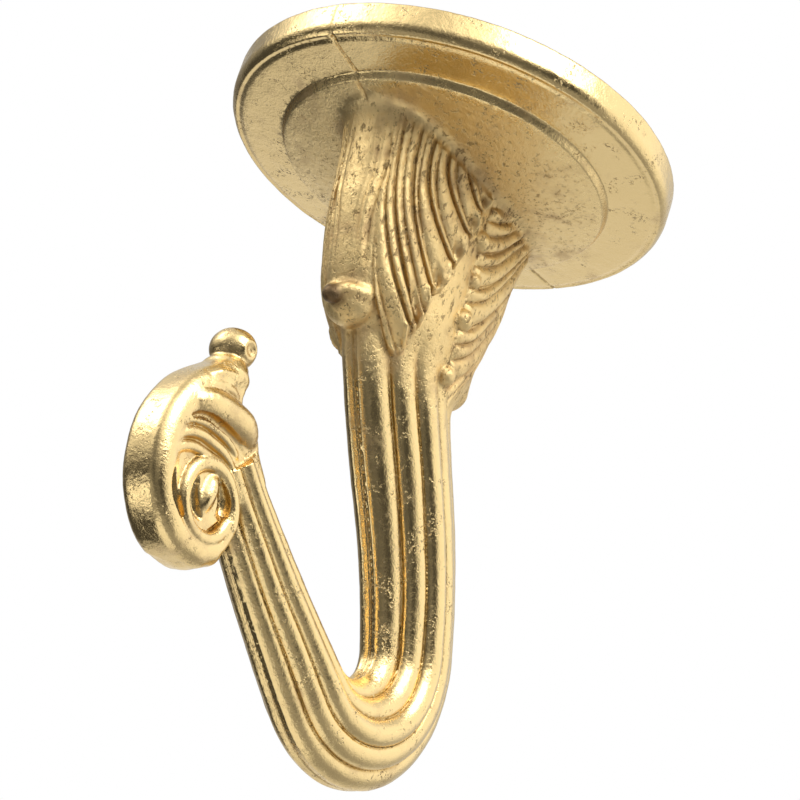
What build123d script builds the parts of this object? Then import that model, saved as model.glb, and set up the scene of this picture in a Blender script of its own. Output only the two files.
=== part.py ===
from build123d import *
import math
import os

# Swag hook: one casting. Origin at the centre of the disc's flat back, +Z up into the ceiling. The hook
# hangs below it, +X points from the stem towards the tip, and the J lies in the plane y = 0. Millimetres.

# Disc
rim_r = 19.05
rim_depth = 3.0
shoulder_height = 1.2
shoulder_width = 0.65
crease_depth = 0.15
field_slope = 0.108
step_r = 14.3
step_width = 0.35
step_height = 0.65
plateau_slope = 0.2

# Tapped hole in the back, for the screw that fastens the hook
screw_hole_r = 1.73
screw_hole_depth = 9.0

# Stem inside the leaves: level ovals, each with its height, half sizes along X and Y and shift along X
stem_flare = (-4.0, 12.5, 6.3, 0.0)
stem_neck = (-6.7, 11.1, 5.0, 0.0)
stem_waist = (-13.0, 10.6, 4.7, 0.0)
stem_hem = (-19.5, 9.2, 4.2, -0.7)
stem_end = (-24.0, 5.0, 2.6, -3.6)
stem_ovals = (stem_flare, stem_neck, stem_waist, stem_hem, stem_end)

# J: the centre line leaves the stem, leans back, turns round the bend and rises to the scroll
j_start_z = -14.3
root_bend_r = 13.2
root_turn = 30.6
upper_shank_length = 11.5
upper_shank_turn = 6.9
lower_shank_length = 12.8
lower_shank_turn = -14.4
bend_r = 7.5
bend_turn = -139.5
arm_length = 17.5
arm_turn = -6.6
station_pitch = 3.6

# J section: a lens with a reed between each two of these angles, measured from the throat side
reed_angles = (0.0, 29.0, 65.0, 110.0, 148.0, 180.0)
lens_power = 1.45
groove_scale = 0.95
crest_scale = 1.07
shank_half_depth = 6.7
shank_half_width = 3.75
bend_half_depth = 5.35
bend_half_width = 3.4
arm_end_half_depth = 3.1
arm_end_half_width = 2.55

# Smooth leaves that rise from the front and back edges of the stem, each with a rounded tip
edge_leaf_start_z = -10.0
edge_leaf_sunk = 0.6
front_tip_x = 5.9
front_tip_z = -20.6
front_tip_r = 2.4
back_tip_x = -9.1
back_tip_z = -19.4
back_tip_r = 1.9

# Places on the side leaf are turns round the stem in degrees, from its +X edge (0) to its -X edge (180)
# Front half: ribs that fan from the disc down to the midrib
rib_count = 5
rib_start_z = -4.5
rib_r = 0.9
rib_proud = 0.5
rib_curl = 2.4
rib_first_turn = 38.0
rib_last_turn = 78.0
low_rib_tip = (69.0, -19.8)
high_rib_tip = (92.0, -7.6)

# Back half: curled lobes that rise from beads along the midrib to the stem's back edge
lobe_count = 4
lobe_r = 1.1
lobe_proud = 0.6
lobe_curl = 0.8
lobe_end_turn = 150.0
lobe_rise = 6.0
bead_r = 1.2
high_bead = (99.0, -10.2)
low_bead = (110.0, -20.9)

# Scroll at the end of the arm
scroll_half_width = 2.2
scroll_rim_blend = 1.4
scroll_rim = ((18.1, -34.1), (21.7, -38.0), (23.2, -42.7), (22.0, -47.5), (18.6, -50.6), (14.6, -50.9), (12.5, -49.7))
scroll_leaf_edge = ((15.6, -34.4), (13.0, -35.9), (11.0, -37.6), (9.6, -39.6))
scroll_root = (8.3, -42.5)
eye_x = 15.5
eye_z = -45.5
eye_r = 1.5
coil_r = 0.75
coil_outer_r = 5.0
coil_inner_r = 2.1
coil_turns = 0.9
coil_start_angle = 40.0
coil_points = 13
relief_proud = 0.35
scroll_lobe_r = 1.25
scroll_lobe_line = ((20.7, -39.3), (17.6, -38.2), (14.9, -38.3), (12.8, -39.2))
ball_x = 16.9
ball_z = -32.4
ball_r = 1.75
neck_r = 1.35


def between(start, end, share):
    """Value or point this share of the way from start to end."""
    if isinstance(start, tuple):
        return tuple(low + (high - low) * share for low, high in zip(start, end))
    return start + (end - start) * share


def build_disc():
    """Stepped disc, slightly coned towards the stem, with a rounded rim and a crease inside it."""
    crease_r = rim_r - shoulder_width
    field_z = -rim_depth
    step_z = field_z - field_slope * (crease_r - step_r)
    plateau_z = step_z - step_height
    centre_z = plateau_z - plateau_slope * (step_r - step_width)
    shoulder_start = (rim_r, field_z + shoulder_height)
    crease_start = (crease_r, field_z)
    with BuildPart() as disc:
        with BuildSketch(Plane.XZ):
            with BuildLine():
                Polyline((0, 0), (rim_r, 0), shoulder_start)
                TangentArc(shoulder_start, crease_start, tangent=(0, -1))
                Polyline(
                    crease_start,
                    (crease_r - crease_depth, field_z + crease_depth),
                    (crease_r - 2 * crease_depth, field_z),
                    (step_r, step_z),
                    (step_r - step_width, plateau_z),
                    (0, centre_z),
                    (0, 0),
                )
            make_face()
        revolve(axis=Axis.Z)
    return disc.part


def stem_size(z):
    """Half sizes along X and Y, and shift along X, of the stem's level oval at this height."""
    for upper, lower in zip(stem_ovals, stem_ovals[1:]):
        if z >= lower[0]:
            break
    share = (z - upper[0]) / (lower[0] - upper[0])
    return between(upper[1:], lower[1:], share)


def level_oval(x, z, half_x, half_y):
    """Level oval face centred on the plane of the J."""
    return Plane(origin=(x, 0, z)) * Ellipse(half_x, half_y)


def build_stem():
    """Oval stem under the leaves, flared where it meets the disc."""
    return loft([level_oval(shift, z, half_x, half_y) for z, half_x, half_y, shift in stem_ovals], ruled=True)


def path_pieces():
    """Length and turn in degrees of each arc of the J's centre line."""
    return (
        (root_bend_r * math.radians(root_turn), root_turn),
        (upper_shank_length, upper_shank_turn),
        (lower_shank_length, lower_shank_turn),
        (bend_r * math.radians(-bend_turn), bend_turn),
        (arm_length, arm_turn),
    )


def path_point(travel):
    """Place (x, z) and lean from the vertical of the J's centre line after this length of travel."""
    x, z, lean = 0.0, j_start_z, 0.0
    for length, turn in path_pieces():
        step = min(travel, length)
        curvature = math.radians(turn) / length
        new_lean = lean + curvature * step
        x += (math.cos(new_lean) - math.cos(lean)) / curvature
        z -= (math.sin(new_lean) - math.sin(lean)) / curvature
        lean = new_lean
        travel -= step
        if travel <= 0:
            break
    return x, z, lean


def section_size(travel):
    """Half depth in the plane of the J, and half width across it, of the section at this travel."""
    lengths = [length for length, _ in path_pieces()]
    bend_start = sum(lengths[:3])
    bend_end = sum(lengths[:4])
    shank = (shank_half_depth, shank_half_width)
    bend = (bend_half_depth, bend_half_width)
    arm_end = (arm_end_half_depth, arm_end_half_width)
    if travel < bend_start:
        return between(shank, bend, travel / bend_start)
    depth = between(bend[0], arm_end[0], (travel - bend_start) / (sum(lengths) - bend_start))
    width = between(bend[1], arm_end[1], max(travel - bend_end, 0) / (sum(lengths) - bend_end))
    return depth, width


def lens_point(angle, depth, width, scale):
    """Point of the lens-shaped section at this angle from the throat side, in degrees."""
    across = math.cos(math.radians(angle))
    side = math.sin(math.radians(angle))
    reach = (abs(across / depth) ** lens_power + abs(side / width) ** lens_power) ** (-1 / lens_power)
    return scale * reach * across, scale * reach * side


def reeded_section(travel):
    """Outline of the J's section: an arc from groove to groove, down one side and up the other."""
    x, z, lean = path_point(travel)
    size = section_size(travel)
    throatward = (math.cos(lean), 0, -math.sin(lean))
    onward = (-math.sin(lean), 0, -math.cos(lean))
    angles = [*reed_angles, *(360 - angle for angle in reversed(reed_angles[:-1]))]
    reeds = []
    for start, end in zip(angles, angles[1:]):
        groove = lens_point(start, *size, groove_scale)
        crest = lens_point((start + end) / 2, *size, crest_scale)
        next_groove = lens_point(end, *size, groove_scale)
        reeds.append(ThreePointArc(groove, crest, next_groove))
    return Plane(origin=(x, 0, z), x_dir=throatward, z_dir=onward) * Wire(reeds)


def build_j():
    """Reeded J, lofted through sections spread evenly along its centre line."""
    whole = sum(length for length, _ in path_pieces())
    steps = math.ceil(whole / station_pitch)
    return Solid.make_loft([reeded_section(whole * number / steps) for number in range(steps + 1)])


def build_edge_leaf(side, tip_x, tip_z, tip_r):
    """Smooth leaf along one edge of the stem, from inside the stem to its rounded tip."""
    half_x, _, shift = stem_size(edge_leaf_start_z)
    start_x = shift + side * (half_x - tip_r - edge_leaf_sunk)
    start = level_oval(start_x, edge_leaf_start_z, tip_r, tip_r)
    end = level_oval(tip_x, tip_z, tip_r, tip_r)
    return [loft([start, end], ruled=True), Pos(tip_x, 0, tip_z) * Sphere(tip_r)]


def build_pipe(points, radius):
    """Round bar along a smooth line through these points."""
    line = Spline(*points)
    start = Plane(origin=line @ 0, z_dir=line % 0)
    return sweep(start * Circle(radius), path=line)


def on_stem(turn, z, sunk):
    """Point this turn round the stem at this height, sunk below its surface."""
    half_x, half_y, shift = stem_size(z)
    across = math.cos(math.radians(turn))
    side = math.sin(math.radians(turn))
    return Vector(shift + (half_x - sunk) * across, (half_y - sunk) * side, z)


def build_ribs():
    """Ribs of the side leaf's front half, each from the disc to a tip that dies into the midrib."""
    ribs = []
    for number in range(rib_count):
        part_way = number / (rib_count - 1)
        root_turn = between(rib_first_turn, rib_last_turn, part_way)
        tip_turn, tip_z = between(low_rib_tip, high_rib_tip, part_way)
        points = []
        for share, sunk in ((0, 0), (0.3, 0), (0.6, 0), (0.85, 0), (1, rib_proud)):
            turn = between(root_turn, tip_turn, share**rib_curl)
            z = between(rib_start_z, tip_z, share)
            points.append(on_stem(turn, z, rib_r - rib_proud + sunk))
        ribs.append(build_pipe(points, rib_r))
    return ribs


def build_lobes():
    """Lobes of the side leaf's back half, each with its bead."""
    lobes = []
    for number in range(lobe_count):
        bead_turn, bead_z = between(high_bead, low_bead, number / (lobe_count - 1))
        points = []
        for share in (0, 0.33, 0.67, 1):
            turn = between(bead_turn, lobe_end_turn, share)
            points.append(on_stem(turn, bead_z + lobe_rise * share**lobe_curl, lobe_r - lobe_proud))
        lobes.append(build_pipe(points, lobe_r))
        lobes.append(Pos(*points[0]) * Sphere(bead_r))
    return lobes


def build_plate():
    """Rolled end of the arm: a thick plate with a rounded rim."""
    with BuildPart() as plate:
        with BuildSketch(Plane.XZ):
            with BuildLine():
                Spline(*scroll_rim)
                Spline(scroll_rim[0], *scroll_leaf_edge)
                Polyline(scroll_leaf_edge[-1], scroll_root, scroll_rim[-1])
            make_face()
        extrude(amount=scroll_half_width, both=True)
        fillet(plate.faces().filter_by(Axis.Y).edges(), scroll_rim_blend)
    return plate.part


def relief_height(radius):
    """Height of a round bar's middle above the plane of the J, where it stands proud of the plate."""
    return scroll_half_width + relief_proud - radius


def build_coil():
    """Raised coil on the scroll's +Y side, winding in towards the eye, with the eye's boss."""
    points = []
    for number in range(coil_points):
        share = number / (coil_points - 1)
        reach = between(coil_outer_r, coil_inner_r, share)
        angle = math.radians(coil_start_angle - 360 * coil_turns * share)
        points.append((eye_x + reach * math.cos(angle), relief_height(coil_r), eye_z + reach * math.sin(angle)))
    boss = Pos(eye_x, relief_height(eye_r), eye_z) * Sphere(eye_r)
    return [build_pipe(points, coil_r), boss]


def build_scroll_lobe():
    """Leaf lobe that lies over the scroll's +Y side and ends above the arm."""
    points = [(x, relief_height(scroll_lobe_r), z) for x, z in scroll_lobe_line]
    return [build_pipe(points, scroll_lobe_r), Pos(*points[-1]) * Sphere(scroll_lobe_r)]


def build_ball():
    """Ball finial on top of the scroll, on a short neck."""
    ball = Pos(ball_x, 0, ball_z) * Sphere(ball_r)
    neck = Pos(ball_x, 0, ball_z - ball_r) * Sphere(neck_r)
    return [ball, neck]


def build_screw_hole():
    """Blind hole in the back of the disc."""
    return Cylinder(screw_hole_r, screw_hole_depth, align=(Align.CENTER, Align.CENTER, Align.MAX))


def both_sides(solids):
    """These solids and their mirror images across the plane of the J."""
    return [*solids, *(mirror(solid, about=Plane.XZ) for solid in solids)]


def build_hook():
    """The whole casting, each group fused on in turn."""
    front_leaf = build_edge_leaf(1, front_tip_x, front_tip_z, front_tip_r)
    back_leaf = build_edge_leaf(-1, back_tip_x, back_tip_z, back_tip_r)
    casting = build_disc() + build_stem() + build_j()
    casting = casting.fuse(*front_leaf, *back_leaf)
    casting = casting.fuse(*both_sides(build_ribs()))
    casting = casting.fuse(*both_sides(build_lobes()))
    casting = casting.fuse(build_plate(), *build_ball())
    casting = casting.fuse(*both_sides([*build_coil(), *build_scroll_lobe()]))
    return casting - build_screw_hole()


os.makedirs("parts", exist_ok=True)
hook = build_hook()
export_step(hook, "parts/hook.step")
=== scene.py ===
import math

import bpy
import numpy as np
from bpy.props import FloatProperty, FloatVectorProperty, IntProperty, PointerProperty
from mathutils import Matrix, Vector


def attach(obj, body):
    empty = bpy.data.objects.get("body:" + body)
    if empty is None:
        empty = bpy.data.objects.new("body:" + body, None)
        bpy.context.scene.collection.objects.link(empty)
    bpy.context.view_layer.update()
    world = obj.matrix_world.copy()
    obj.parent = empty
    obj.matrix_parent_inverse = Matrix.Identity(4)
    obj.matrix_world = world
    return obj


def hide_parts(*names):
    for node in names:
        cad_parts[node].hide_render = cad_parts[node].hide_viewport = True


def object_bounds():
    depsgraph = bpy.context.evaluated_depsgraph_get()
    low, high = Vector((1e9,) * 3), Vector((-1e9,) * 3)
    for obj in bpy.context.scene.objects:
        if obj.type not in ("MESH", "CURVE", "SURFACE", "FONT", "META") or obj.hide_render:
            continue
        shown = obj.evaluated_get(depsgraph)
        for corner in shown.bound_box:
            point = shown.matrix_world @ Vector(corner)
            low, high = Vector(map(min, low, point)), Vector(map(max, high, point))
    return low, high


bl_info = {
    "name": "Swag Hook",
    "version": (1, 0, 0),
    "blender": (4, 5, 0),
    "location": "3D View > Sidebar > Swag Hook",
    "description": "Builds the cast brass swag hook and the studio that shows it",
    "category": "Add Mesh",
}

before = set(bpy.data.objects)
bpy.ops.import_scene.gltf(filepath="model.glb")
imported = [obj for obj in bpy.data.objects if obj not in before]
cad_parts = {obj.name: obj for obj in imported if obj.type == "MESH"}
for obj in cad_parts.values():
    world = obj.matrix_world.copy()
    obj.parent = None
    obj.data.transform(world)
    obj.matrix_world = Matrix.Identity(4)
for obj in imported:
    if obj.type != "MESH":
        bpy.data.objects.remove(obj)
cad_low, cad_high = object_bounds()

# The casting is worked out in millimetres, with its origin at the centre of the disc's back, +Z up and +X
# from the stem towards the tip. Both sides of the plane y = 0 are alike.
MM = 0.001
# Distance given to a shape's surroundings where the real distance isn't worked out
FAR = 9.0

# Disc
RIM_R = 19.05
RIM_DEPTH = 3.0
SHOULDER_HEIGHT = 1.2
SHOULDER_WIDTH = 0.65
FIELD_SLOPE = 0.108
STEP_R = 14.3
STEP_WIDTH = 0.5
STEP_HEIGHT = 0.65
PLATEAU_SLOPE = 0.2
CREASE_INSET = 0.2
CREASE_DEPTH = 0.13
CREASE_WIDTH = 0.26
SEAM_DEPTH = 0.14
SEAM_RIM_DEPTH = 0.05
SEAM_WIDTH = 0.12
SEAM_INNER_R = 3
RIM_ROUNDING = 0.12
BACK_ROUNDING = 0.25
HOLE_R = 1.73
HOLE_DEPTH = 9.0
HOLE_ROUNDING = 0.1

# Stem: height, half sizes along X and Y and shift along X of its level ovals, from the disc down
STEM_OVALS = np.array([
    (-4.0, 11.9, 5.8, 0.1),
    (-6.7, 11.1, 5.0, 0.0),
    (-13.0, 10.35, 4.7, -0.25),
    (-19.5, 8.8, 4.2, -1.1),
    (-24.0, 5.0, 2.6, -3.6),
])
STEM_POWER = 2.3
# Heights over which the bends between the ovals are eased
STEM_EASING = (-1.2, -0.6, 0.0, 0.6, 1.2)

# J: each arc's length and its turn in degrees, from inside the stem to the scroll: root, upper shank, lower
# shank, bend and arm
J_START_Z = -14.3
J_ARCS = (
    (13.2 * math.radians(30.6), 30.6),
    (11.5, 6.9),
    (12.8, -14.4),
    (7.5 * math.radians(139.5), -139.5),
    (17.5, -6.6),
)
# Its section is a lens, given by half depth and half width, with a reed between each two of these angles
SHANK_HALF = (6.7, 3.75)
BEND_HALF = (5.35, 3.4)
ARM_END_HALF = (3.1, 2.55)
LENS_POWER = 1.45
REED_ANGLES = np.array([0.0, 29.0, 65.0, 110.0, 148.0, 180.0])
GROOVE_SCALE = 0.905
CREST_SCALE = 1.06
# Line of metal along the J where the two halves of the mould met
FLASH_HEIGHT = 0.1
FLASH_WIDTH = 0.13

# Smooth leaves on the stem's front and back edges: their tips (x, z) and radius
FRONT_TIP = (5.9, -20.6)
FRONT_TIP_R = 2.35
BACK_TIP = (-9.1, -19.4)
BACK_TIP_R = 1.85
# Flutes along the front one: distance from its middle and depth
FLUTES = ((1.25, 0.16), (2.0, 0.24))

# Side leaf: places are (turn round the stem in degrees from its +X edge, height)
GIRTH = 0.145  # length round the stem for each degree
# Front half: turn at the disc of each groove, the place where it ends, how late it curls and how deep it is
LEAF_TOP_Z = -4.5
FRONT_GROOVES = (
    (26.5, (39.0, -22.9), 3.2, 0.0),
    (28.2, (51.0, -22.9), 4.2, 0.0),
    (30.0, (64.0, -20.9), 3.3, 0.22),
    (33.5, (67.5, -20.2), 2.5, 0.3),
    (39.0, (72.0, -19.2), 2.6, 0.0),
    (44.5, (75.0, -17.5), 2.7, 0.25),
    (48.5, (78.5, -16.9), 3.1, 0.0),
    (53.0, (83.5, -14.2), 3.4, 0.25),
    (57.5, (85.0, -13.6), 3.4, 0.0),
    (62.0, (87.0, -11.0), 3.2, 0.25),
    (67.0, (88.0, -10.4), 3.0, 0.0),
    (72.0, (89.5, -8.4), 2.6, 0.25),
    (78.0, (91.0, -7.9), 2.2, 0.0),
    (85.0, (94.0, -6.0), 1.8, 0.2),
    (92.0, (99.0, -5.0), 1.5, 0.0),
)
# Scalloped lower edge of the front half, from the tongue up to the disc
FRONT_EDGE = (
    (41.0, -22.9), (48.0, -23.1), (55.0, -22.8), (60.5, -22.0), (62.0, -21.2),
    (66.5, -20.9), (71.5, -20.2), (74.5, -19.2), (75.6, -18.2), (73.6, -17.4),
    (78.0, -17.1), (81.8, -16.4), (83.8, -15.3), (82.4, -14.3),
    (85.2, -14.1), (87.4, -13.2), (88.3, -12.1), (86.8, -11.1),
    (89.0, -10.9), (90.6, -10.0), (90.6, -9.2), (89.2, -8.5),
    (91.5, -8.2), (93.0, -7.2), (93.0, -4.0),
)
# Hollows between its lobes, with their size, and pits where two lobes meet
FRONT_HOLLOWS = (
    (64.8, -18.9, 0.62), (76.0, -16.2, 0.55), (83.6, -13.0, 0.5),
    (86.6, -9.8, 0.42), (88.5, -7.3, 0.3),
)
FRONT_PITS = ((65.5, -20.4), (72.8, -19.2), (55.0, -22.3), (80.5, -16.2))
# Back half: heights where the grooves leave the midrib, those that are deep, and the beads with their radius
BACK_GROOVES = (-6.6, -7.9, -9.2, -10.8, -12.0, -13.9, -15.2, -17.6, -18.9, -20.2, -22.4, -23.6, -24.8)
BACK_DEEP = (-10.8, -13.9, -17.6, -22.4)
BEADS = ((98.5, -9.9, 1.25), (103.5, -13.1, 0.95), (105.5, -16.6, 1.25), (109.0, -21.2, 1.15))
# Midrib between them: its front and back edges as (turn, height)
MIDRIB_FRONT = (
    (92.0, -4.0), (90.0, -8.0), (87.5, -11.0), (84.5, -14.0),
    (79.0, -17.0), (74.0, -20.0), (70.0, -22.5),
)
MIDRIB_BACK = (
    (96.0, -4.0), (97.0, -8.0), (98.8, -11.0), (101.0, -14.0),
    (103.0, -17.5), (105.5, -20.5), (107.0, -23.0),
)

# Scroll: places are (x, z) in the plane of the J
SCROLL_HALF = 2.2
SCROLL_FLOOR = 1.85
RIM_BLEND = 1.4
SCROLL_RIM = (
    (18.1, -34.1), (21.7, -38.0), (23.2, -42.7), (22.0, -47.5),
    (18.6, -50.6), (14.6, -50.9), (12.5, -49.7),
)
SCROLL_ROOT = (8.3, -42.5)
LEAF_EDGE = (
    (15.9, -34.7), (15.4, -35.6), (15.3, -36.5), (13.9, -36.9),
    (12.4, -37.8), (11.6, -38.9), (10.4, -40.0),
)
LEAF_FOLD = (
    (20.9, -40.1), (20.2, -39.4), (18.8, -38.8), (17.1, -38.45),
    (15.3, -38.3), (14.0, -38.5), (13.2, -39.0),
)
# Ridges on the scroll's side: points, radius and height of the crest
RIDGES = (
    (LEAF_FOLD, 1.5, 2.85),
    (((21.9, -42.7), (21.0, -41.5), (19.4, -40.75), (17.4, -40.45), (15.5, -40.5), (14.0, -40.9)), 0.5, 2.3),
    (((21.9, -44.3), (20.9, -42.7), (19.3, -41.8), (17.2, -41.55), (15.3, -41.6), (13.8, -42.0)), 0.5, 2.3),
    (((21.8, -46.0), (21.1, -44.2), (19.6, -43.1), (17.5, -42.75), (15.7, -42.5), (13.8, -43.0)), 0.5, 2.25),
    (((20.6, -38.4), (19.2, -37.3), (17.8, -36.8), (16.2, -36.7)), 0.5, 2.3),
    (((20.3, -37.1), (19.1, -36.1), (17.8, -35.6), (16.3, -35.6)), 0.45, 2.25),
)
# Narrow hollows between them: points, radius and height of the middle
CHANNELS = (
    (((20.7, -41.1), (19.2, -40.2), (17.2, -39.95), (15.3, -39.95), (13.6, -40.3)), 0.4, 2.0),
    (((20.6, -45.9), (20.2, -46.8), (19.4, -47.7), (18.3, -48.5)), 0.4, 1.95),
    (((17.7, -44.9), (17.6, -45.9), (17.0, -46.8), (16.1, -47.3)), 0.55, 1.85),
    (((14.9, -44.0), (14.2, -44.7), (13.9, -45.4), (14.0, -46.0)), 0.55, 1.85),
)
EYE = (15.9, -45.8)
# Coil round the eye: angle and radius of its points where it leaves the rim, then the angles of its round
# part, its height above the plane of the J and the radius of its bar at both ends
COIL_START = ((-115, 4.4), (-145, 3.8), (-175, 3.35), (-205, 3.1))
COIL_R = 2.95
COIL_ANGLES = range(-235, -560, -25)
COIL_HEIGHT = 1.76
COIL_BAR = (0.75, 0.6)
BALL = (16.9, -32.4)
BALL_R = 1.75
NECK_R = 1.35

# How far out from the surface metal is looked for, to tell hollows from open places
HOLLOW_REACHES = (0.35, 0.8, 1.6, 3.0)


# ---- distances


def smooth_min(a, b, reach):
    """Lesser of two distances, with a fillet of about this reach where they meet."""
    overlap = np.maximum(reach - np.abs(a - b), 0) / reach
    return np.minimum(a, b) - overlap * overlap * reach / 4


def smooth_max(a, b, reach):
    """Greater of two distances, with a rounding of about this reach where they meet."""
    return -smooth_min(-a, -b, reach)


def bell(offset, width):
    """1 at no offset, falling to nothing a few widths away."""
    return np.exp(-((offset / width) ** 2))


def round_max(a, b, radius):
    """Distance to a corner of two faces, rounded to this radius."""
    outside = np.hypot(np.maximum(a + radius, 0), np.maximum(b + radius, 0)) - radius
    return np.minimum(np.maximum(a, b), -radius) + np.where(outside > -radius, outside + radius, 0)


def ball_distance(p, centre, radius):
    """Distance to a ball; a radius for each axis makes it an ellipsoid."""
    radius = np.broadcast_to(np.asarray(radius, float), 3)
    offset = (p - np.asarray(centre, float)) / radius
    length = np.sqrt((offset**2).sum(axis=1))
    steep = np.sqrt(((offset / radius) ** 2).sum(axis=1))
    return (length - 1) * length / np.maximum(steep, 1e-6)


def bar_distance(p, points, radii):
    """Distance to a round bar through these points, with a radius at each."""
    points = np.asarray(points, float)
    radii = np.broadcast_to(np.asarray(radii, float), len(points))
    best = np.full(len(p), FAR)
    for a, b, r_a, r_b in zip(points, points[1:], radii, radii[1:]):
        along = b - a
        share = np.clip((p - a) @ along / (along @ along), 0, 1)
        away = p - a - share[:, None] * along
        distance = np.sqrt((away**2).sum(axis=1)) - (r_a + (r_b - r_a) * share)
        best = np.minimum(best, distance)
    return best


def smooth_line(points, count):
    """This many points along a smooth line through the given ones."""
    points = np.asarray(points, float)
    padded = np.vstack([2 * points[0] - points[1], points, 2 * points[-1] - points[-2]])
    out = []
    for place in np.linspace(0, len(points) - 1, count):
        i = min(int(place), len(points) - 2)
        t = place - i
        a, b, c, d = padded[i : i + 4]
        out.append(b + 0.5 * t * ((c - a) + t * ((2 * a - 5 * b + 4 * c - d) + t * (3 * (b - c) + d - a))))
    return np.array(out)


def ripple(p, wavelength):
    """Slow unevenness between about -1 and 1."""
    q = p * (2 * math.pi / wavelength)
    x, y, z = q[:, 0], q[:, 1], q[:, 2]
    first = np.sin(x + 1.7 * np.sin(0.61 * y + 1.3)) * np.sin(0.83 * z + 1.1 * np.sin(0.47 * x + 2.1))
    second = np.sin(1.37 * y - 0.59 * z + 0.7) * np.sin(0.71 * x + 1.13 * z + 4.2)
    return 0.6 * first + 0.4 * second


# ---- disc


def hole_distance(p):
    """Distance to the screw hole, without its rounding."""
    x, y, z = p.T
    return np.maximum(np.hypot(x, y) - HOLE_R, -HOLE_DEPTH - z)


def disc_distance(p):
    """Distance to the disc with its shoulder, crease, step, joint line and screw hole."""
    x, y, z = p.T
    r = np.hypot(x, y)
    crease_r = RIM_R - SHOULDER_WIDTH
    under = -RIM_DEPTH - FIELD_SLOPE * (crease_r - np.maximum(r, STEP_R))
    inward = np.maximum(STEP_R - r, 0)
    share = np.clip(inward / STEP_WIDTH, 0, 1)
    under = under - STEP_HEIGHT * share * share * (3 - 2 * share)
    under = under - PLATEAU_SLOPE * np.maximum(inward - STEP_WIDTH / 2, 0)
    under = under + CREASE_DEPTH * bell(r - crease_r + CREASE_INSET, CREASE_WIDTH)
    joint_line = bell(y, SEAM_WIDTH)
    under = under + SEAM_DEPTH * (joint_line * (r > SEAM_INNER_R))
    steepest = 0.97
    field = (under - z) * steepest
    arc_r = (SHOULDER_WIDTH**2 + SHOULDER_HEIGHT**2) / (2 * SHOULDER_WIDTH)
    arc_z = SHOULDER_HEIGHT - RIM_DEPTH
    rounded = np.where(r > RIM_R - arc_r, np.hypot(r - RIM_R + arc_r, z - arc_z) - arc_r, -1.0)
    side = np.where(z < arc_z, rounded, r - RIM_R)
    side = side + SEAM_RIM_DEPTH * joint_line
    distance = smooth_max(smooth_max(field, side, RIM_ROUNDING), z, BACK_ROUNDING)
    return smooth_max(distance, -hole_distance(p), HOLE_ROUNDING)


# ---- stem and leaves


def stem_size(z):
    """Half sizes along X and Y and shift along X of the stem at these heights, with its bends eased."""
    total = 0
    for offset in STEM_EASING:
        height = np.clip(z + offset, STEM_OVALS[-1, 0], STEM_OVALS[0, 0])
        total = total + np.array([np.interp(-height, -STEM_OVALS[:, 0], STEM_OVALS[:, i]) for i in (1, 2, 3)])
    return total / len(STEM_EASING)


def on_stem(turn, z, sunk):
    """Point this turn round the stem at this height, sunk below its surface."""
    half_x, half_y, shift = stem_size(np.float64(z))
    across = math.cos(math.radians(turn))
    side = math.sin(math.radians(turn))
    reach = (abs(across) ** STEM_POWER + abs(side) ** STEM_POWER) ** (-1 / STEM_POWER)
    return (shift + (half_x * reach - sunk) * across, (half_y * reach - sunk) * side, z)


def stem_distance(p):
    """Distance to the bare stem."""
    x, y, z = p.T
    half_x, half_y, shift = stem_size(z)
    u = np.abs(x - shift) / half_x
    v = np.abs(y) / half_y
    q = np.maximum((u**STEM_POWER + v**STEM_POWER) ** (1 / STEM_POWER), 1e-3)
    steep = q ** (1 - STEM_POWER) * np.hypot(u ** (STEM_POWER - 1) / half_x, v ** (STEM_POWER - 1) / half_y)
    side = (q - 1) / np.maximum(steep, 0.08)
    lower = STEM_OVALS[-1, 0] - z
    return np.maximum(side, lower)


def reeds(turn, lines, depths):
    """Height of the rounded reeds between neighbouring grooves on the stem."""
    highest, groove_width = 0.5, 0.17
    height = np.zeros_like(turn)
    for left, right in zip(lines, lines[1:]):
        width = np.maximum(right - left, 0.5)
        across = np.abs(2 * (turn - left) / width - 1)
        crest = np.minimum(0.42 * width * GIRTH, highest)
        height = np.where(across < 1, crest * (1 - np.minimum(across, 1) ** 2.4) ** 0.65, height)
    for line, depth in zip(lines, depths):
        if depth:
            height = height - depth * bell((turn - line) * GIRTH, groove_width)
    return height


def groove_line(groove, z):
    """Turn of a groove of the front half at this height."""
    root, (tip_turn, tip_z), curl, _ = groove
    share = np.maximum((LEAF_TOP_Z - z) / (LEAF_TOP_Z - tip_z), 0)
    return root + (tip_turn - root) * share**curl


def midrib_edge(edge, z):
    """Turn of an edge of the midrib at this height."""
    turns, heights = np.array(edge).T
    return np.interp(-z, -heights, turns)


def front_outline():
    """Corners of the front half, as (length round the stem, height)."""
    first = FRONT_GROOVES[0]
    top = (first[0], -4.0)
    down = [(groove_line(first, level), level) for level in (-4.5, -8.0, -13.0, -17.0, -20.0, -22.0)]
    return np.array([(turn * GIRTH, level) for turn, level in (top, *down, *FRONT_EDGE)])


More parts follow.
